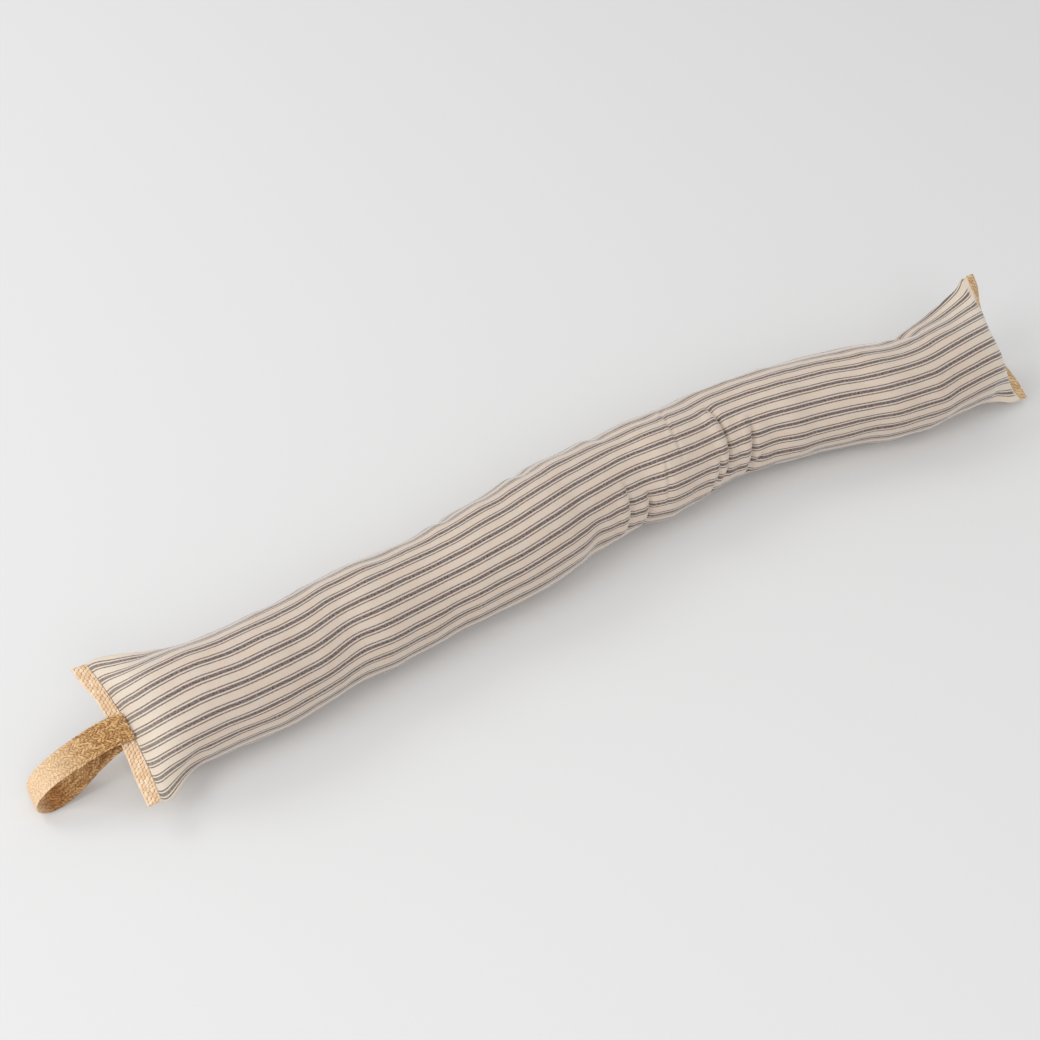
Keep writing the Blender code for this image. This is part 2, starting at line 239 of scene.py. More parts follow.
# The cover's grid, closer at its ends and round its folds.
COVER_ACROSS = 184
COVER_ALONG = 500
LINE_POINTS = 4001
END_DENSITY = 1.5
END_REACH = 10.0
FINE_DENSITY = 1.3
FINE_REACH = 14.0
FINE_PLACES = (463, 485, 505, 530, 558, 575, 606)

# The coarse copy that settles, and which of its puckers are kept: those shorter than the reach and
# longer than the softness, at a share of their height and never higher than the most.
SETTLING_ACROSS = 84
SETTLING_ALONG = 240
SETTLING_FRAMES = 16
SETTLING_QUALITY = 5
SETTLING_STIFFNESS = 1.0
SETTLING_PRESSURE = 4.0
SETTLING_GROWTH = 0.015
PUCKER_REACH = 18.0
PUCKER_SOFTNESS = 3.0
PUCKER_SHARE = 0.35
MOST_PUCKER = 1.3


def smooth(x, places, values):
    """Values at x on a smooth curve through the values at the given places."""
    places, values = np.asarray(places, float), np.asarray(values, float)
    x = np.clip(x, places[0], places[-1])
    last = len(places) - 1
    k = np.clip(np.searchsorted(places, x, side="right") - 1, 0, last - 1)
    at = np.arange(last + 1)
    before, after = np.maximum(at - 1, 0), np.minimum(at + 1, last)
    slope = (values[after] - values[before]) / (places[after] - places[before])
    span = places[k + 1] - places[k]
    t = (x - places[k]) / span
    start, end, rise = slope[k] * span, slope[k + 1] * span, values[k + 1] - values[k]
    bend, twist = 3 * rise - 2 * start - end, start + end - 2 * rise
    return values[k] + t * (start + t * (bend + t * twist))


def mix(a, b, share):
    """From a at a share of 0 to b at 1."""
    return a + (b - a) * share


def ease(t):
    """A soft step from 0 to 1."""
    return t * t * (3 - 2 * t)


def place(points):
    """Points in metres in the row frame."""
    return (np.asarray(points, float) + STAND) * MM


def seam_axes(seam):
    """The directions along a seam and square to its flat end."""
    tilt, skew = math.radians(seam.tilt), math.radians(seam.skew)
    level = math.cos(skew)
    across = np.array([-math.sin(skew), level * math.cos(tilt), level * math.sin(tilt)])
    return across, np.array([0.0, -math.sin(tilt), math.cos(tilt)])


def seam_points(seam, at, outwards=0.0):
    """Points on the seam, at -1 for its front corner and 1 for its back one, or beyond it."""
    across, _ = seam_axes(seam)
    at = np.asarray(at, float)
    straight = seam.straight_back * ease(np.clip(at / STRAIGHT_BACK_PLACE, 0.0, 1.0))
    inwards = seam.draw * (1 - at * at) * (1 - straight) - outwards
    base = np.stack([seam.x + seam.inward * inwards, 0 * at + seam.y, 0 * at + seam.z], axis=-1)
    return base + at[..., None] * seam.half_width * across


def crease_frame(crease, x, angle):
    """Where (x, angle) lies along a crease, and how far to its right in half widths."""
    per_degree = math.pi * (TUBE_WIDTH + TUBE_HEIGHT) / 2 / 360
    run = np.array([crease.x1 - crease.x0, (crease.angle1 - crease.angle0) * per_degree])
    px, py = x - crease.x0, (angle - crease.angle0) * per_degree
    t = (px * run[0] + py * run[1]) / (run @ run)
    right = (px * run[1] - py * run[0]) / math.hypot(*run)
    if run[1] < 0:
        right = -right
    swing = np.clip(4 * t * (1 - t), 0, 1) * ((t > 0) & (t < 1))
    return swing, (right - crease.bow * swing) / crease.half_width


def crease_moves(x, angle):
    """How far the cloth stands out at (x, angle), and how far it leans along the tube."""
    out, lean = 0.0 * x * angle, 0.0 * x * angle
    for crease in CREASES:
        swing, beside = crease_frame(crease, x, angle)
        strength = swing ** CREASE_ENDS
        trough = np.exp(-beside ** 2)
        bank = np.exp(-((beside + LIP_PLACE) / LIP_WIDTH) ** 2)
        out += (crease.lip * bank - crease.depth * trough) * strength
        lean += crease.lean * np.exp(-((beside + LEAN_PLACE) / LEAN_PLACE) ** 2) * strength
    return out, lean


def lumps(x, turn):
    """The uneven filling and small puckers of the cloth, as a height."""
    rng = np.random.default_rng(LUMPS_SEED)
    height = 0.0 * x * turn
    for waves in LUMPS:
        for _ in range(waves.count):
            wave = rng.uniform(waves.shortest, waves.longest)
            turns = rng.integers(-waves.most_turns, waves.most_turns + 1)
            phase = rng.uniform(0, 2 * math.pi)
            size = waves.height * rng.uniform(LOWEST_LUMP, 1)
            height += size * np.sin(2 * math.pi * (x / wave + turns * turn) + phase) / 2
    return height


def cover_surface(x, turn, unevenness=lumps):
    """Points of the cover for a column of places x and a row of turns round it."""
    x, turn = np.asarray(x, float)[:, None], np.asarray(turn, float)[None, :]
    points = np.zeros((x.size, turn.size, 3))
    at = 1 - 4 * np.abs((turn % 1.0) - 0.5)
    side = np.where((turn % 1.0) < 0.5, 1.0, -1.0)
    angle = FRONT_FOLD_ANGLE + 360 * turn
    wrapped = (angle - LOWEST_ANGLE) % 360 + LOWEST_ANGLE
    level, rise = np.cos(np.radians(angle)), np.sin(np.radians(angle))
    middle = smooth(x, SECTIONS[:, 0], SECTIONS[:, 1])
    fullness = smooth(x, SECTIONS[:, 0], SECTIONS[:, 2])
    belly = BELLY_HEIGHT * fullness
    power = 2 / UNDERSIDE_SQUARENESS
    across = np.where(rise >= 0, level, np.sign(level) * np.abs(level) ** power)
    high = belly + (TUBE_HEIGHT * fullness - belly) * rise
    low = belly - (belly + UNDERSIDE_PRESS) * np.abs(rise) ** power
    y = middle - TUBE_WIDTH / 2 * fullness * across
    z = np.where(rise >= 0, high, low)
    out, lean = crease_moves(x, wrapped)
    beside_seam = ((turn - SLEEVE_SEAM_TURN + 0.5) % 1.0 - 0.5) * GIRTH
    out = out - SLEEVE_SEAM_DEPTH * np.exp(-(beside_seam / SLEEVE_SEAM_WIDTH) ** 2)
    for seam in (LOOP_END, FAR_END):
        near = (x < MIDDLE_PLACE) if seam is LOOP_END else (x >= MIDDLE_PLACE)
        away = np.abs(x - seam.x)
        t = np.minimum(away / seam.taper, 1.0)
        back, front = seam.back_ear, seam.front_ear
        taper = np.where(at > 0, back.taper, front.taper)
        delay = np.where(at > 0, back.delay, front.delay)
        spread = np.where(at > 0, back.spread, front.spread)
        ear_swell = ease(np.minimum(away / taper, 1.0) ** delay)
        aside = ease(np.minimum(np.abs(at) / CROWN_EDGE, 1.0))
        square = mix(seam.crown, CROWN_SQUARENESS, aside)
        root = mix(seam.crown_root, CROWN_SQUARENESS, aside)
        crown = (1 - (1 - t) ** square) ** (1 / root) * (1 - np.exp(-away / seam.flat))
        swell = mix(crown, ear_swell, np.abs(at) ** EAR_SHARE)
        spread = spread * away / EAR_SPREAD_PLACE * np.exp(1 - away / EAR_SPREAD_PLACE)
        if seam is FAR_END:
            puff = (away / PUFF_PLACE * np.exp(1 - away / PUFF_PLACE)) ** PUFF_SHARPNESS
            at_corner = ease(np.clip((at - PUFF_FROM) / (1 - PUFF_FROM), 0.0, 1.0))
            spread = spread + PUFF_HEIGHT * puff * at_corner
        axis, normal = seam_axes(seam)
        edge = mix(SEAM_EDGE_SHARE, 1.0, ease(np.minimum(away / SEAM_EDGE_REACH, 1.0)))
        lens = SEAM_THICKNESS / 2 * np.sqrt(np.clip(1 - at * at, 0, 1)) * side * edge
        flat = seam_points(seam, at) + lens[..., None] * normal
        flat = flat + (at * spread)[..., None] * axis
        relief = (out + unevenness(x, turn)) * swell
        mixed_y = mix(flat[..., 1], y - level * relief, swell)
        mixed_z = mix(flat[..., 2], z + rise * relief, swell)
        moved_x = x + (flat[..., 0] - seam.x) * (1 - t) ** SEAM_FADE + lean * swell
        whole = np.stack([moved_x, mixed_y, np.maximum(mixed_z, 0.0)], axis=-1)
        points = np.where(near[..., None], whole, points)
    return points


def stripe_numbers(x, turn):
    """The stripe number at each point, which the material turns into the ticking's stripes."""
    x, turn = np.asarray(x, float)[:, None], np.asarray(turn, float)[None, :]
    on_tube = FRONT_CORNER_STRIPE - STRIPES_ROUND * turn
    folded = np.where(turn < 0, -turn, turn)
    reach = SEAM_STRIPES * 2 * folded
    at_seam = SEAM_FRONT_STRIPE - np.where(turn < 0, -reach, reach)
    away = np.minimum(np.abs(x - LOOP_END.x), np.abs(x - FAR_END.x))
    share = np.exp(-away / SEAM_STRIPES_REACH)
    numbers = mix(on_tube, at_seam, share)
    shift = smooth(x, WANDER[:, 0], WANDER[:, 1])
    growth = smooth(x, WANDER[:, 0], WANDER[:, 2])
    return numbers - shift - growth * (numbers - MIDDLE_STRIPE)


def quad_corners(grid):
    """The values of a grid at the four corners of each of its quads."""
    return np.stack([grid[:-1, :-1], grid[:-1, 1:], grid[1:, 1:], grid[1:, :-1]], axis=-1)


def write_layer(piece, name, first, second):
    """A layer of two coordinates for each corner of the piece's faces."""
    layer = piece.data.uv_layers.new(name=name)
    layer.data.foreach_set("uv", np.stack([first, second], axis=-1).ravel().astype(np.float32))


def grid_mesh(name, points, wrap, caps=False):
    """A mesh through a grid of points, closed across its second direction if it wraps."""
    rows, count = points.shape[:2]
    index = np.arange(rows * count).reshape(rows, count)
    if wrap:
        index = np.concatenate([index, index[:, :1]], axis=1)
    faces = quad_corners(index).reshape(-1, 4).tolist()
    if caps:
        half = count // 2
        for r, flip in ((0, False), (rows - 1, True)):
            ring = index[r]
            for i in range(half):
                face = [ring[i], ring[i + 1], ring[count - i - 1], ring[(count - i) % count]]
                face = list(dict.fromkeys(int(corner) for corner in face))
                faces.append(face if flip else face[::-1])
    mesh = bpy.data.meshes.new(name)
    mesh.from_pydata(points.reshape(-1, 3).tolist(), [], faces)
    mesh.update()
    mesh.shade_smooth()
    piece = bpy.data.objects.new(name, mesh)
    bpy.context.scene.collection.objects.link(piece)
    return piece


def woven(weave, along, across, half_width, seed):
    """The height of a webbing's face, from 0 between its cords to 1, and each float's tone."""
    rng = np.random.default_rng(seed)
    wavy = 0.0 * along * across
    for _ in range(CORD_WAVES):
        wave = rng.uniform(*CORD_WAVE_LENGTHS)
        spin = rng.uniform(-CORD_WAVE_SPIN, CORD_WAVE_SPIN)
        phase = rng.uniform(0, 2 * math.pi)
        wavy = wavy + np.sin(2 * math.pi * along / wave + spin * across + phase)
    cords = max(int(round(2 * half_width / weave.pitch)), 2)
    place_in_row = (across + half_width) / (2 * half_width) * cords + CORD_WAVINESS * wavy
    cord = np.clip(np.floor(place_in_row), 0, cords - 1)
    beside = np.clip(place_in_row - cord, 0, 1) * 2 - 1
    leg = np.floor(cord / weave.leg)
    turned = np.where(leg % 2 == 0, 1.0, -1.0)
    in_leg = cord - leg * weave.leg
    climb = np.where(leg % 2 == 0, in_leg, weave.leg - 1 - in_leg) * weave.shift
    drift = rng.uniform(-weave.uneven, weave.uneven, cords + 1)[cord.astype(int)]
    swing = np.sin(along / weave.float_length * DRIFT_PACE + DRIFT_STEP * cord)
    drift = drift + weave.uneven * swing
    phase = along / weave.float_length + climb + drift + turned * weave.slant * beside / 2
    phase = phase + FLOAT_WAVINESS * wavy
    number = np.floor(phase).astype(int)
    tones = rng.uniform(0, 1, (cords + 1, TONES))
    tone = tones[cord.astype(int), number % TONES]
    bead = np.sqrt(np.clip(1 - beside ** 2, 0, 1))
    bead = bead * np.abs(np.sin(math.pi * phase)) ** FLOAT_ROUNDNESS
    return bead * mix(LOWEST_FLOAT, 1.0, tone), tone


def webbing(name, middles, across, out, along, half_widths, thickness, weave, seed, edge_wave):
    """A closed strip of webbing with both faces woven, laid along a row of middles."""
    count = int(round(2 * half_widths.max() / WEBBING_STEP))
    share = np.linspace(-1, 1, count + 1)[None, :]
    reach = half_widths[:, None] * share
    rounding = np.sqrt(np.clip(1 - np.abs(share) ** EDGE_SQUARENESS, 0, 1))
    faces, heights, tones = [], [], []
    core = thickness - weave.depth
    scallop = edge_wave * np.sin(2 * math.pi * along / weave.float_length)[:, None]
    scallop = scallop * np.abs(share) ** SCALLOP_POWER
    for face in (1, -1):
        high, tone = woven(weave, along[:, None], reach, half_widths.max(), seed + face)
        plain = ease(np.clip((share - weave.selvedge) / SELVEDGE_FADE, 0.0, 1.0))
        high = mix(high, SELVEDGE_HEIGHT, plain)
        lift = face * rounding * (core + weave.depth * high)
        spread = reach + np.sign(share) * scallop
        point = middles[:, None] + across[:, None] * spread[..., None]
        faces.append(point + out[:, None] * lift[..., None])
        heights.append(high)
        tones.append(tone)
    ring, high, tone, cross = (
        np.concatenate([upper, lower[:, -2:0:-1]], axis=1)
        for upper, lower in (faces, heights, tones, (reach, reach))
    )
    ring[..., 2] = np.maximum(ring[..., 2], 0.0)
    piece = grid_mesh(name, place(ring), wrap=True, caps=True)
    corners = np.zeros(len(piece.data.loops), np.int64)
    piece.data.loops.foreach_get("vertex_index", corners)
    run = np.repeat(along[:, None], ring.shape[1], axis=1)
    for layer, first, second in (("cloth", run * MM, cross * MM), ("yarn", high, tone)):
        write_layer(piece, layer, first.ravel()[corners], second.ravel()[corners])
    return piece


def build_binding(name, seam, strip, seed):
    """A ribbed strip whose inner edge follows the seam at a small gap."""
    across, normal = seam_axes(seam)
    length = 2 * seam.half_width
    at = np.linspace(-1, 1, int(length / WEBBING_STEP))
    width = smooth(at, strip[:, 0], strip[:, 1])
    lift = smooth(at, strip[:, 0], strip[:, 2])
    inner = seam_points(seam, at, SEWN_GAP)
    outer = seam_points(seam, at, GAP + width) + lift[:, None] * normal
    middles = (inner + outer) / 2 - BINDING_LIFT_SHARE * lift[:, None] * normal
    sideways = outer - inner
    half = np.linalg.norm(sideways, axis=1) / 2
    sideways /= 2 * half[:, None]
    out = np.cross(sideways, across * seam.inward)
    out /= np.linalg.norm(out, axis=1)[:, None]
    thickness = BINDING_CORE / 2 + BINDING_RIB_HEIGHT
    along = at * seam.half_width
    return webbing(
        name, middles, sideways, out, along, half, thickness, BINDING_WEAVE, seed, BINDING_SCALLOP,
    )


def build_loop():
    """The doubled webbing of the loop, square to its course."""
    clear = BINDING_CORE / 2 + BINDING_RIB_HEIGHT + GAP + LOOP_THICKNESS / 2
    end = seam_points(LOOP_END, 0.0, SEWN_GAP)
    over = (end[0], end[2] + clear, LOOP_END.tilt)
    under = (end[0], end[2] - clear, LOOP_END.tilt)
    course = np.array([over, *LOOP_COURSE, under])
    numbers = np.arange(len(course))

    def at(k, column):
        return smooth(k, numbers, course[:, column])

    k = np.linspace(0, numbers[-1], LINE_POINTS)
    run = np.concatenate([[0], np.cumsum(np.hypot(np.diff(at(k, 0)), np.diff(at(k, 1))))])
    along = np.linspace(0, run[-1], int(run[-1] / WEBBING_STEP))
    k = np.interp(along, run, k)
    middles = np.stack([at(k, 0), 0 * k, at(k, 1)], axis=-1)
    after, before = np.clip(k + AHEAD, 0, numbers[-1]), np.clip(k - AHEAD, 0, numbers[-1])
    ahead = np.stack([at(after, 0) - at(before, 0), 0 * k, at(after, 1) - at(before, 1)], axis=-1)
    tilt = np.radians(at(k, 2))
    skew = math.radians(LOOP_END.skew) * at(k, 2) / LOOP_END.tilt
    across = np.stack([-np.sin(skew), np.cos(tilt), np.sin(tilt)], axis=-1)
    out = np.cross(across, ahead)
    out /= np.linalg.norm(out, axis=1)[:, None]
    half = np.full(len(along), LOOP_WIDTH / 2)
    return webbing(
        "loop_webbing", middles, across, out, along, half, LOOP_THICKNESS / 2, LOOP_WEAVE,
        LOOP_SEED, LOOP_SCALLOP,
    )


def blurred(field, along, around):
    """A field softened by so many of its own steps, mirrored at its ends and closed round."""
    whole = np.concatenate([field, field[::-1]])
    rows, columns = np.fft.fftfreq(len(whole))[:, None], np.fft.fftfreq(field.shape[1])[None, :]
    keep = np.exp(-2 * math.pi ** 2 * ((rows * along) ** 2 + (columns * around) ** 2))
    return np.fft.ifft2(np.fft.fft2(whole) * keep).real[:len(field)]


def settled_relief():
    """How the filling pushes the cloth out or lets it sink, from a short run of the cloth itself.

    A coarse copy of the cover, cut a little too large, is blown up between its two sewn ends.
    Its puckers are kept, and its change of shape as a whole isn't.
    """
    x = np.linspace(LOOP_END.x, FAR_END.x, SETTLING_ALONG)
    turn = np.arange(SETTLING_ACROSS) / SETTLING_ACROSS
    start = place(cover_surface(x, turn, lambda x, turn: 0.0 * x * turn))
    piece = grid_mesh("settling_cloth", start, wrap=True, caps=True)
    index = np.arange(start.shape[0] * start.shape[1]).reshape(start.shape[:2])
    piece.vertex_groups.new(name="sewn").add(index[[0, -1]].ravel().tolist(), 1.0, "REPLACE")
    cloth = piece.modifiers.new("cloth", "CLOTH")
    cloth.settings.quality = SETTLING_QUALITY
    cloth.settings.bending_stiffness = SETTLING_STIFFNESS
    cloth.settings.vertex_group_mass = "sewn"
    cloth.settings.use_pressure = True
    cloth.settings.uniform_pressure_force = SETTLING_PRESSURE
    cloth.settings.shrink_min = -SETTLING_GROWTH
    cloth.settings.effector_weights.gravity = 0.0
    cloth.collision_settings.use_collision = False
    cloth.point_cache.frame_start, cloth.point_cache.frame_end = 1, SETTLING_FRAMES
    for number in range(1, SETTLING_FRAMES + 1):
        bpy.context.scene.frame_set(number)
    mesh = piece.evaluated_get(bpy.context.evaluated_depsgraph_get()).data
    end = np.zeros(len(mesh.vertices) * 3)
    mesh.vertices.foreach_get("co", end)
    moved = (end.reshape(start.shape) - start) / MM
    bpy.data.objects.remove(piece)
    bpy.context.scene.frame_set(1)
    around = np.roll(start, -1, axis=1) - np.roll(start, 1, axis=1)
    normal = np.cross(around, np.gradient(start, axis=0))
    normal /= np.linalg.norm(normal, axis=-1, keepdims=True) + 1e-12
    outward = ((start - start.mean(axis=1, keepdims=True)) * normal).sum(axis=-1)
    height = (moved * normal).sum(axis=-1) * np.sign(np.median(outward))
    step, round_step = x[1] - x[0], GIRTH / SETTLING_ACROSS
    height -= blurred(height, PUCKER_REACH / step, PUCKER_REACH / round_step)
    height = blurred(height, PUCKER_SOFTNESS / step, PUCKER_SOFTNESS / round_step)
    return x, MOST_PUCKER * np.tanh(PUCKER_SHARE * height / MOST_PUCKER)


def from_grid(x, turn, places, field):
    """The field's values at x and turn."""
    count = field.shape[1]
    row = np.interp(x.ravel(), places, np.arange(len(places)))
    low = np.minimum(row.astype(int), len(places) - 2)
    part = (row - low)[:, None]
    column = (turn.ravel() % 1.0) * count
    left = np.floor(column).astype(int) % count
    share = (column - np.floor(column))[None, :]
    right = (left + 1) % count
    near = mix(field[low][:, left], field[low][:, right], share)
    far = mix(field[low + 1][:, left], field[low + 1][:, right], share)
    return mix(near, far, part)


def build_cover():
    """The ticking cover as one closed surface, with the cloth's coordinates on its corners."""
    turn = SLEEVE_SEAM_TURN - 1 + np.arange(COVER_ACROSS) / COVER_ACROSS
    spacing = np.linspace(0, 1, LINE_POINTS)
    x_line = LOOP_END.x + (FAR_END.x - LOOP_END.x) * spacing
    near_end = np.minimum(x_line - LOOP_END.x, FAR_END.x - x_line)
    fine = np.maximum.reduce([np.exp(-((x_line - fold) / FINE_REACH) ** 2) for fold in FINE_PLACES])
    density = 1 + END_DENSITY * np.exp(-near_end / END_REACH) + FINE_DENSITY * fine
    total = np.concatenate([[0], np.cumsum((density[1:] + density[:-1]) / 2)])
    x = np.interp(np.linspace(0, total[-1], COVER_ALONG), total, x_line)
    unevenness = lumps
    places, field = settled_relief()

    def unevenness(x, turn):
        return from_grid(x, turn, places, field) + LUMPS_SHARE * lumps(x, turn)

    points = cover_surface(x, turn, unevenness)
    piece = grid_mesh("ticking_cover", place(points), wrap=True)
    numbers = stripe_numbers(x, turn)
    end_numbers = stripe_numbers(x, np.array([SLEEVE_SEAM_TURN]))
    u = quad_corners(np.repeat(x[:, None], COVER_ACROSS + 1, axis=1)).ravel()
    v = quad_corners(np.concatenate([numbers, end_numbers], axis=1)).ravel()
    write_layer(piece, "cloth", u * MM, v * STRIPE_REPEAT * MM)
    return piece


class Nodes:
    """Short calls for making a material's nodes."""

    def __init__(self, name):
        self.material = bpy.data.materials.new(name)
        self.material.use_nodes = True
        self.tree = self.material.node_tree
        self.shader = self.tree.nodes["Principled BSDF"]

    def add(self, kind, **settings):
        node = self.tree.nodes.new(kind)
        for key, value in settings.items():
            setattr(node, key, value)
        return node

    def put(self, value, socket):
        if isinstance(value, bpy.types.NodeSocket):
            self.tree.links.new(value, socket)
        else:
            socket.default_value = value

    def math(self, kind, a, b=0.0, c=0.0):
        node = self.add("ShaderNodeMath", operation=kind)
        for value, socket in zip((a, b, c), node.inputs):
            self.put(value, socket)
        return node.outputs[0]

    def times(self, a, b):
        return self.math("MULTIPLY", a, b)

    def plus(self, a, b):
        return self.math("ADD", a, b)

    def less(self, a, b):
        return self.math("SUBTRACT", a, b)

    def mix(self, share, a, b):
        node = self.add("ShaderNodeMix", data_type="RGBA")
        self.put(share, node.inputs[0])
        self.put(a if isinstance(a, bpy.types.NodeSocket) else (*a, 1), node.inputs[6])
        self.put(b if isinstance(b, bpy.types.NodeSocket) else (*b, 1), node.inputs[7])
        return node.outputs[2]

    def ramp(self, value, low, high):
        """0 below low to 1 above high."""
        node = self.add("ShaderNodeMapRange", clamp=True, interpolation_type="SMOOTHSTEP")
        self.put(value, node.inputs[0])
        node.inputs[1].default_value, node.inputs[2].default_value = low, high
        return node.outputs[0]

    def vector(self, x, y, z=0.0):
        node = self.add("ShaderNodeCombineXYZ")
        for value, socket in zip((x, y, z), node.inputs):
            self.put(value, socket)
        return node.outputs[0]

    def noise(self, u, v, grains, detail=2.0, rough=0.5):
        """Noise over the cloth, with so many grains to a millimetre along u and along v."""
        vector = self.vector(self.times(u, grains[0]), self.times(v, grains[1]))
        node = self.add("ShaderNodeTexNoise")
        self.put(vector, node.inputs["Vector"])
        node.inputs["Scale"].default_value = 1.0
        node.inputs["Detail"].default_value = detail
        node.inputs["Roughness"].default_value = rough
        return node.outputs[0]

    def cloth(self):
        """The cloth's coordinates, in millimetres."""
        u, v = self.layer("cloth")
        return self.times(u, 1 / MM), self.times(v, 1 / MM)

    def layer(self, name):
        """Both coordinates of a layer."""
        split = self.add("ShaderNodeSeparateXYZ")
        self.put(self.add("ShaderNodeUVMap", uv_map=name).outputs[0], split.inputs[0])
        return split.outputs[0], split.outputs[1]

    def bump(self, height, distance, strength):
        node = self.add("ShaderNodeBump")
        self.put(height, node.inputs["Height"])
        node.inputs["Distance"].default_value = distance
        node.inputs["Strength"].default_value = strength
        return node.outputs[0]

    def finish(self, colour, normal, roughness, specular, sheen, sheen_roughness):
        """Put a cloth's looks on the shader."""
        for name, value in (
            ("Base Color", colour), ("Normal", normal), ("Roughness", roughness),
            ("Specular IOR Level", specular), ("Sheen Weight", sheen),
            ("Sheen Roughness", sheen_roughness),
        ):
            self.put(value, self.shader.inputs[name])
        return self.material


def srgb(*shown):
    """Linear values of a colour given as it looks on a screen, 0 to 255."""
    shares = [value / 255 for value in shown]
    return tuple(c / 12.92 if c <= 0.04045 else ((c + 0.055) / 1.055) ** 2.4 for c in shares)


# The ticking's colours.
CREAM = srgb(214, 200, 186)
CREAM_WARM = srgb(216, 197, 180)
# Painted highlight: the paler cream laid on both ends of the tube.
PAINTED_LIGHT_CREAM = srgb(246, 234, 214)
SLUB_CREAM = srgb(168, 152, 138)
STRIPE_GREY = srgb(60, 49, 52)
STRIPE_PALE = srgb(142, 129, 126)
THIN_GREY = srgb(92, 79, 77)

# A stripe group, in millimetres from the broad stripe's middle: where the broad stripe fades
# out, where a thin stripe lies, where that one fades out from its own middle, and how far the
# stripes wander and fray.
BROAD_EDGE = (1.05, 1.7)
THIN_PLACE = 3.15
THIN_EDGE = (0.3, 0.8)
STRIPE_WANDER = 0.5
STRIPE_RAGGEDNESS = 0.5

# How dark the stripes are, and how far the pale specks in them thin that out.
BROAD_SHARE = 0.94
THIN_SHARE = 0.95
THIN_SPECKS = 0.3

# Along the tube, in millimetres: where painted light makes the cream paler at both ends and how
# much, how much that painted light pales the broad stripe at the loop's end, and where the stripes
# are worn away at the far seam.
PALE_TO = (4.0, 44.0)
PALE_FROM = (830.0, 885.0)
PALE_SHARE = 0.42
PALE_BROAD = 0.15
PLAIN_FROM = (892.5, 895.5)
PLAIN_SHARE = 0.8

# Grains of each noise to a millimetre, along the cloth and across it.
WANDER_GRAINS = (0.06, 0.05)
RAGGED_GRAINS = (0.9, 2.2)
SPECK_GRAINS = (0.5, 1.3)
PATCH_GRAINS = (0.07, 0.11)
SLUB_GRAINS = (1.5, 0.16)
FIBRE_GRAINS = (0.9, 4.5)
STAIN_GRAINS = (0.07, 0.12)

# The part of each noise over which its mark comes in, and how strong the marks are.
SPECK_RANGE = (0.4, 0.62)
PATCH_RANGE = (0.35, 0.65)
SLUB_RANGE = (0.45, 0.8)
STRAND_RANGE = (0.2, 0.8)
STAIN_RANGE = (0.4, 0.7)
SLUB_SHARE = 0.18
STAIN_SHARE = 0.3
TONE_SHARE = 0.3
FIBRE_SHARE = 0.65

# The fine relief: the pitches of the ticking's weave in millimetres, how much the weave and the
# slubs add to it, the height of each relief in metres with its strength, and the roughness.
WARP_PITCH = 0.55
WEFT_PITCH = 0.6
WEAVE_RELIEF = 0.5
SLUB_RELIEF = 1.2
TICKING_RELIEF = 0.0001
TICKING_STRENGTH = 0.6
FIBRE_RELIEF = 0.0002
FIBRE_STRENGTH = 0.7
TICKING_ROUGHNESS = 0.84
SLUB_ROUGHNESS = 0.14
JUTE_ROUGHNESS = 0.72
FIBRE_ROUGHNESS = 0.22

# Jute: the painted shade between its cords, its darkest and lightest strands, its stains, and the
# share of a float's height up to which that painted shade reaches.
Jute = namedtuple("Jute", "hollow shade light stain hollow_reach")
PALE_JUTE = Jute(
    srgb(164, 104, 58), srgb(228, 190, 148), srgb(252, 232, 204), srgb(240, 206, 166), 0.5,
)
BROWN_JUTE = Jute(
    srgb(66, 30, 6), srgb(156, 102, 48), srgb(248, 206, 144), srgb(200, 146, 82), 0.66,
)
GREY_JUTE = Jute(
    srgb(130, 90, 52), srgb(196, 158, 112), srgb(236, 208, 166), srgb(206, 162, 108), 0.5,
)
# The loop's paler colour round its tip: partly the jute's own colour, partly painted light.
FADED_AND_LIT_JUTE = srgb(255, 222, 182)
# Painted shade inside the loop's turn, warm as with light bounced off the jute.
PAINTED_TURN_SHADE = srgb(156, 88, 16)
# The share of a float's height below which the painted shade between the cords is full.
HOLLOW_FROM = 0.04


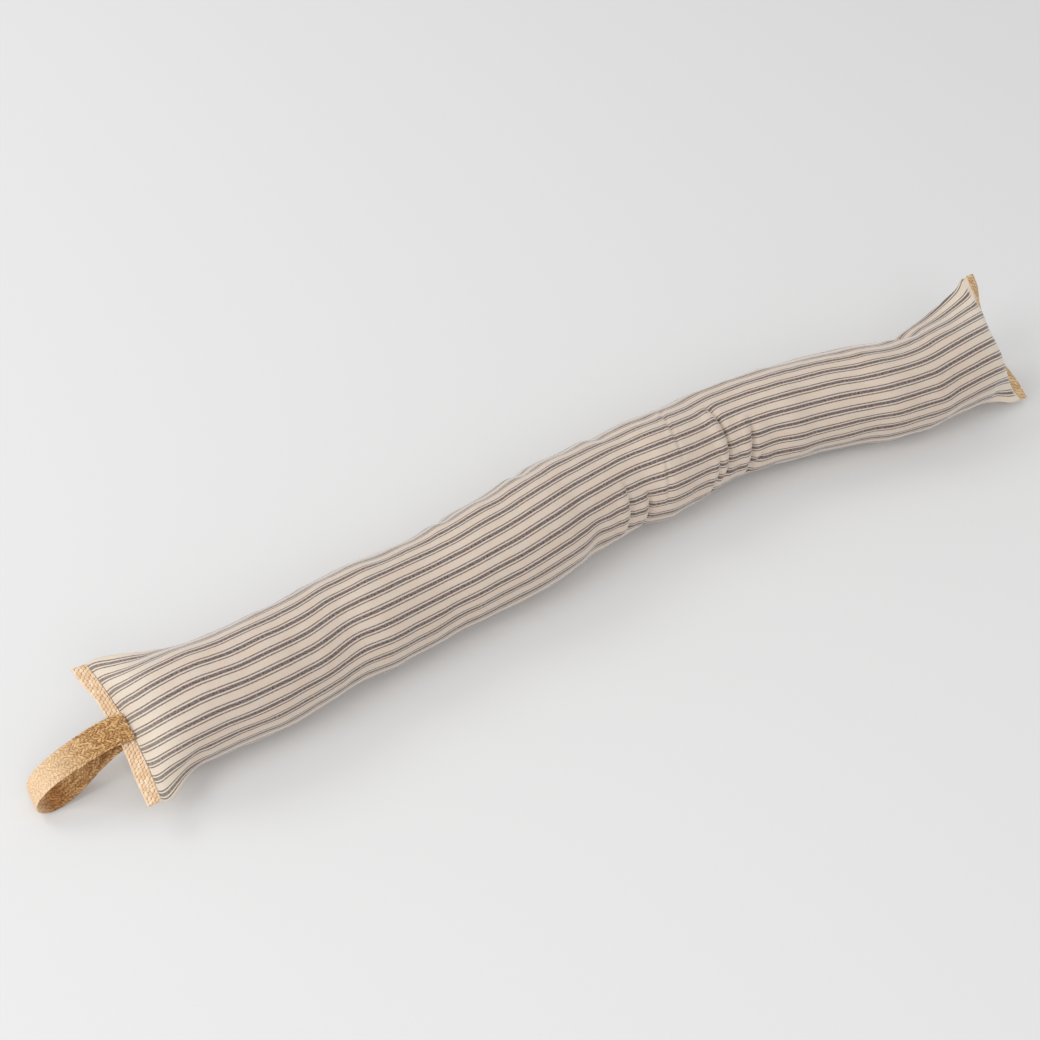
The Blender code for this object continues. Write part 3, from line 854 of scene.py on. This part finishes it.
def ticking_material():
    """Cream ticking with one broad and two thin grey stripes in a group."""
    n = Nodes("ticking_cloth")
    u, v = n.cloth()
    wander = n.noise(u, v, WANDER_GRAINS)
    v_wandered = n.plus(v, n.times(n.less(wander, 0.5), STRIPE_WANDER))
    side = n.math("ABSOLUTE", n.math("WRAP", v_wandered, STRIPE_REPEAT / 2, -STRIPE_REPEAT / 2))
    ragged = n.noise(u, v, RAGGED_GRAINS)
    side = n.plus(side, n.times(n.less(ragged, 0.5), STRIPE_RAGGEDNESS))
    broad = n.less(1.0, n.ramp(side, *BROAD_EDGE))
    thin = n.less(1.0, n.ramp(n.math("ABSOLUTE", n.less(side, THIN_PLACE)), *THIN_EDGE))
    specks = n.ramp(n.noise(u, v, SPECK_GRAINS, detail=3.0, rough=0.65), *SPECK_RANGE)
    patches = n.noise(u, v, PATCH_GRAINS, detail=3.0)
    slubs = n.noise(u, v, SLUB_GRAINS)
    cream = n.mix(n.ramp(patches, *PATCH_RANGE), CREAM, CREAM_WARM)
    cream = n.mix(n.times(n.ramp(slubs, *SLUB_RANGE), SLUB_SHARE), cream, SLUB_CREAM)
    # Painted highlight at both ends: the cream is painted paler there, and the broad stripe paler
    # at the loop's end.
    near_loop = n.less(1.0, n.ramp(u, *PALE_TO))
    painted_light_at_ends = n.math("MAXIMUM", near_loop, n.ramp(u, *PALE_FROM))
    cream = n.mix(n.times(painted_light_at_ends, PALE_SHARE), cream, PAINTED_LIGHT_CREAM)
    plain = n.less(1.0, n.times(n.ramp(u, *PLAIN_FROM), PLAIN_SHARE))
    thin = n.times(n.times(thin, n.less(THIN_SHARE, n.times(specks, THIN_SPECKS))), plain)
    broad = n.times(n.times(broad, n.less(BROAD_SHARE, n.times(near_loop, PALE_BROAD))), plain)
    colour = n.mix(thin, cream, THIN_GREY)
    colour = n.mix(broad, colour, n.mix(specks, STRIPE_GREY, STRIPE_PALE))
    warp = n.math("SINE", n.times(v, 2 * math.pi / WARP_PITCH))
    weft = n.math("SINE", n.times(u, 2 * math.pi / WEFT_PITCH))
    height = n.plus(n.times(n.times(warp, weft), WEAVE_RELIEF), n.times(slubs, SLUB_RELIEF))
    normal = n.bump(height, TICKING_RELIEF, TICKING_STRENGTH)
    roughness = n.plus(TICKING_ROUGHNESS, n.times(slubs, SLUB_ROUGHNESS))
    return n.finish(colour, normal, roughness, specular=0.25, sheen=0.8, sheen_roughness=0.35)


def webbing_material(name, jute, faded_lit_and_shaded=False):
    """Jute: painted shade between its cords, its floats uneven in tone, with fine fibres along
    them.

    The loop's webbing is paler round the tip, partly its own colour and partly painted light, with
    painted shade inside the turn.
    """
    n = Nodes(name)
    u, v = n.cloth()
    height, tone = n.layer("yarn")
    fibres = n.noise(u, v, FIBRE_GRAINS, detail=3.0, rough=0.6)
    stains = n.noise(u, v, STAIN_GRAINS, detail=3.0)
    strands = n.plus(n.times(tone, TONE_SHARE), n.times(fibres, FIBRE_SHARE))
    colour = n.mix(n.ramp(strands, *STRAND_RANGE), jute.shade, jute.light)
    colour = n.mix(n.times(n.ramp(stains, *STAIN_RANGE), STAIN_SHARE), colour, jute.stain)
    # Painted shade between the cords, where the floats lie low.
    shade_between_cords = n.less(1.0, n.ramp(height, HOLLOW_FROM, jute.hollow_reach))
    if faded_lit_and_shaded:
        past_tip = n.ramp(u, *PALE_TIP_OUT)
        faded_and_lit = n.times(n.ramp(u, *PALE_TIP_IN), n.less(1.0, past_tip))
        inside = n.times(past_tip, n.less(1.0, n.ramp(u, *TURN_SHADE_OUT)))
        # Painted light, with the jute's own paler colour, on the outside of the turn round the tip.
        colour = n.mix(n.times(faded_and_lit, FADED_AND_LIT_SHARE), colour, FADED_AND_LIT_JUTE)
        # Painted shade inside the turn.
        colour = n.mix(n.times(inside, TURN_SHADE_SHARE), colour, PAINTED_TURN_SHADE)
        # Less painted shade between the cords where the tip is paler.
        shade_between_cords = n.times(shade_between_cords, n.less(1.0, n.times(faded_and_lit, PALE_TIP_HOLLOWS)))
    # Lay the painted shade between the cords on the colour.
    colour = n.mix(shade_between_cords, colour, jute.hollow)
    normal = n.bump(fibres, FIBRE_RELIEF, FIBRE_STRENGTH)
    roughness = n.plus(JUTE_ROUGHNESS, n.times(fibres, FIBRE_ROUGHNESS))
    return n.finish(colour, normal, roughness, specular=0.3, sheen=0.2, sheen_roughness=0.5)


def main_cover():
    """The cover, in place of its solid."""
    cover = build_cover()
    cover.data.materials.append(ticking_material())
    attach(cover, "root")
    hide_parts("filled_cover")
    return cover


def trims(cover):
    """Both bindings and the loop, each in place of its solid."""
    pale = webbing_material("pale_webbing", PALE_JUTE)
    brown = webbing_material("brown_webbing", BROWN_JUTE, faded_lit_and_shaded=True)
    grey_brown = webbing_material("far_webbing", GREY_JUTE)
    near = build_binding("loop_end_webbing", LOOP_END, LOOP_END_BINDING, LOOP_END_SEED)
    far = build_binding("far_end_webbing", FAR_END, FAR_END_BINDING, FAR_END_SEED)
    loop = build_loop()
    for piece, finish, node, slot in (
        (near, pale, "loop_end_binding", "pale_webbing"),
        (far, grey_brown, "far_end_binding", "brown_webbing"),
        (loop, brown, "carry_loop", "brown_webbing"),
    ):
        piece.data.materials.append(finish)
        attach(piece, "root")
        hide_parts(node)


# The camera, its place in the solids' millimetres and its turns in degrees.
CAMERA_PLACE = (-94.7, -770.2, 1080.3)
CAMERA_TILT = 42
CAMERA_TURN = -30.474
LENS = 54.55
SENSOR_WIDTH = 36.0
CLIP = (0.01, 50.0)

# The lights: name, place and size in metres, and power in watts.
LIGHTS = (
    ("key", (-1.3, 2.0, 2.1), 1.4, 17.0),
    ("side", (-2.3, -0.1, 1.8), 1.4, 18.0),
    ("front", (-0.6, -2.0, 1.9), 1.6, 11.0),
)
AIM = (0, 0, 0)
WORLD_STRENGTH = 0.7

# The floor: half its length and how far it lies under the tube, in metres, and its grey.
FLOOR_REACH = 6.0
FLOOR_DROP = 0.0002
FLOOR_GREY = 0.775
FLOOR_ROUGHNESS = 0.9
FLOOR_SPECULAR = 0.1


def camera():
    """The camera, placed as it was fitted to the photo."""
    data = bpy.data.cameras.new("camera")
    data.lens = LENS
    data.sensor_width = SENSOR_WIDTH
    data.clip_start, data.clip_end = CLIP
    piece = bpy.data.objects.new("camera", data)
    bpy.context.scene.collection.objects.link(piece)
    piece.location = place(CAMERA_PLACE)
    piece.rotation_euler = (math.radians(CAMERA_TILT), 0, math.radians(CAMERA_TURN))
    bpy.context.scene.camera = piece


def stage_and_lights():
    """A plain floor, an even surround and three soft lights."""
    mesh = bpy.data.meshes.new("floor")
    square = ((-1, -1), (1, -1), (1, 1), (-1, 1))
    corners = [(x * FLOOR_REACH, y * FLOOR_REACH, 0) for x, y in square]
    mesh.from_pydata(corners, [], [(0, 1, 2, 3)])
    floor = bpy.data.objects.new("floor", mesh)
    bpy.context.scene.collection.objects.link(floor)
    floor.location.z = -FLOOR_DROP
    n = Nodes("plain_floor")
    n.shader.inputs["Base Color"].default_value = (FLOOR_GREY, FLOOR_GREY, FLOOR_GREY, 1)
    n.shader.inputs["Roughness"].default_value = FLOOR_ROUGHNESS
    n.shader.inputs["Specular IOR Level"].default_value = FLOOR_SPECULAR
    mesh.materials.append(n.material)

    world = bpy.data.worlds.new("studio")
    bpy.context.scene.world = world
    world.use_nodes = True
    surround = world.node_tree.nodes["Background"]
    surround.inputs[0].default_value = (1.0, 1.0, 1.0, 1)
    surround.inputs[1].default_value = WORLD_STRENGTH

    for name, spot, size, power in LIGHTS:
        data = bpy.data.lights.new(name, "AREA")
        data.shape = "DISK"
        data.size = size
        data.energy = power
        light = bpy.data.objects.new(name, data)
        bpy.context.scene.collection.objects.link(light)
        light.location = spot
        light.rotation_euler = (Vector(AIM) - Vector(spot)).to_track_quat("-Z", "Y").to_euler()
    bpy.context.scene.view_settings.view_transform = "Standard"


camera()
stage_and_lights()
trims(main_cover())
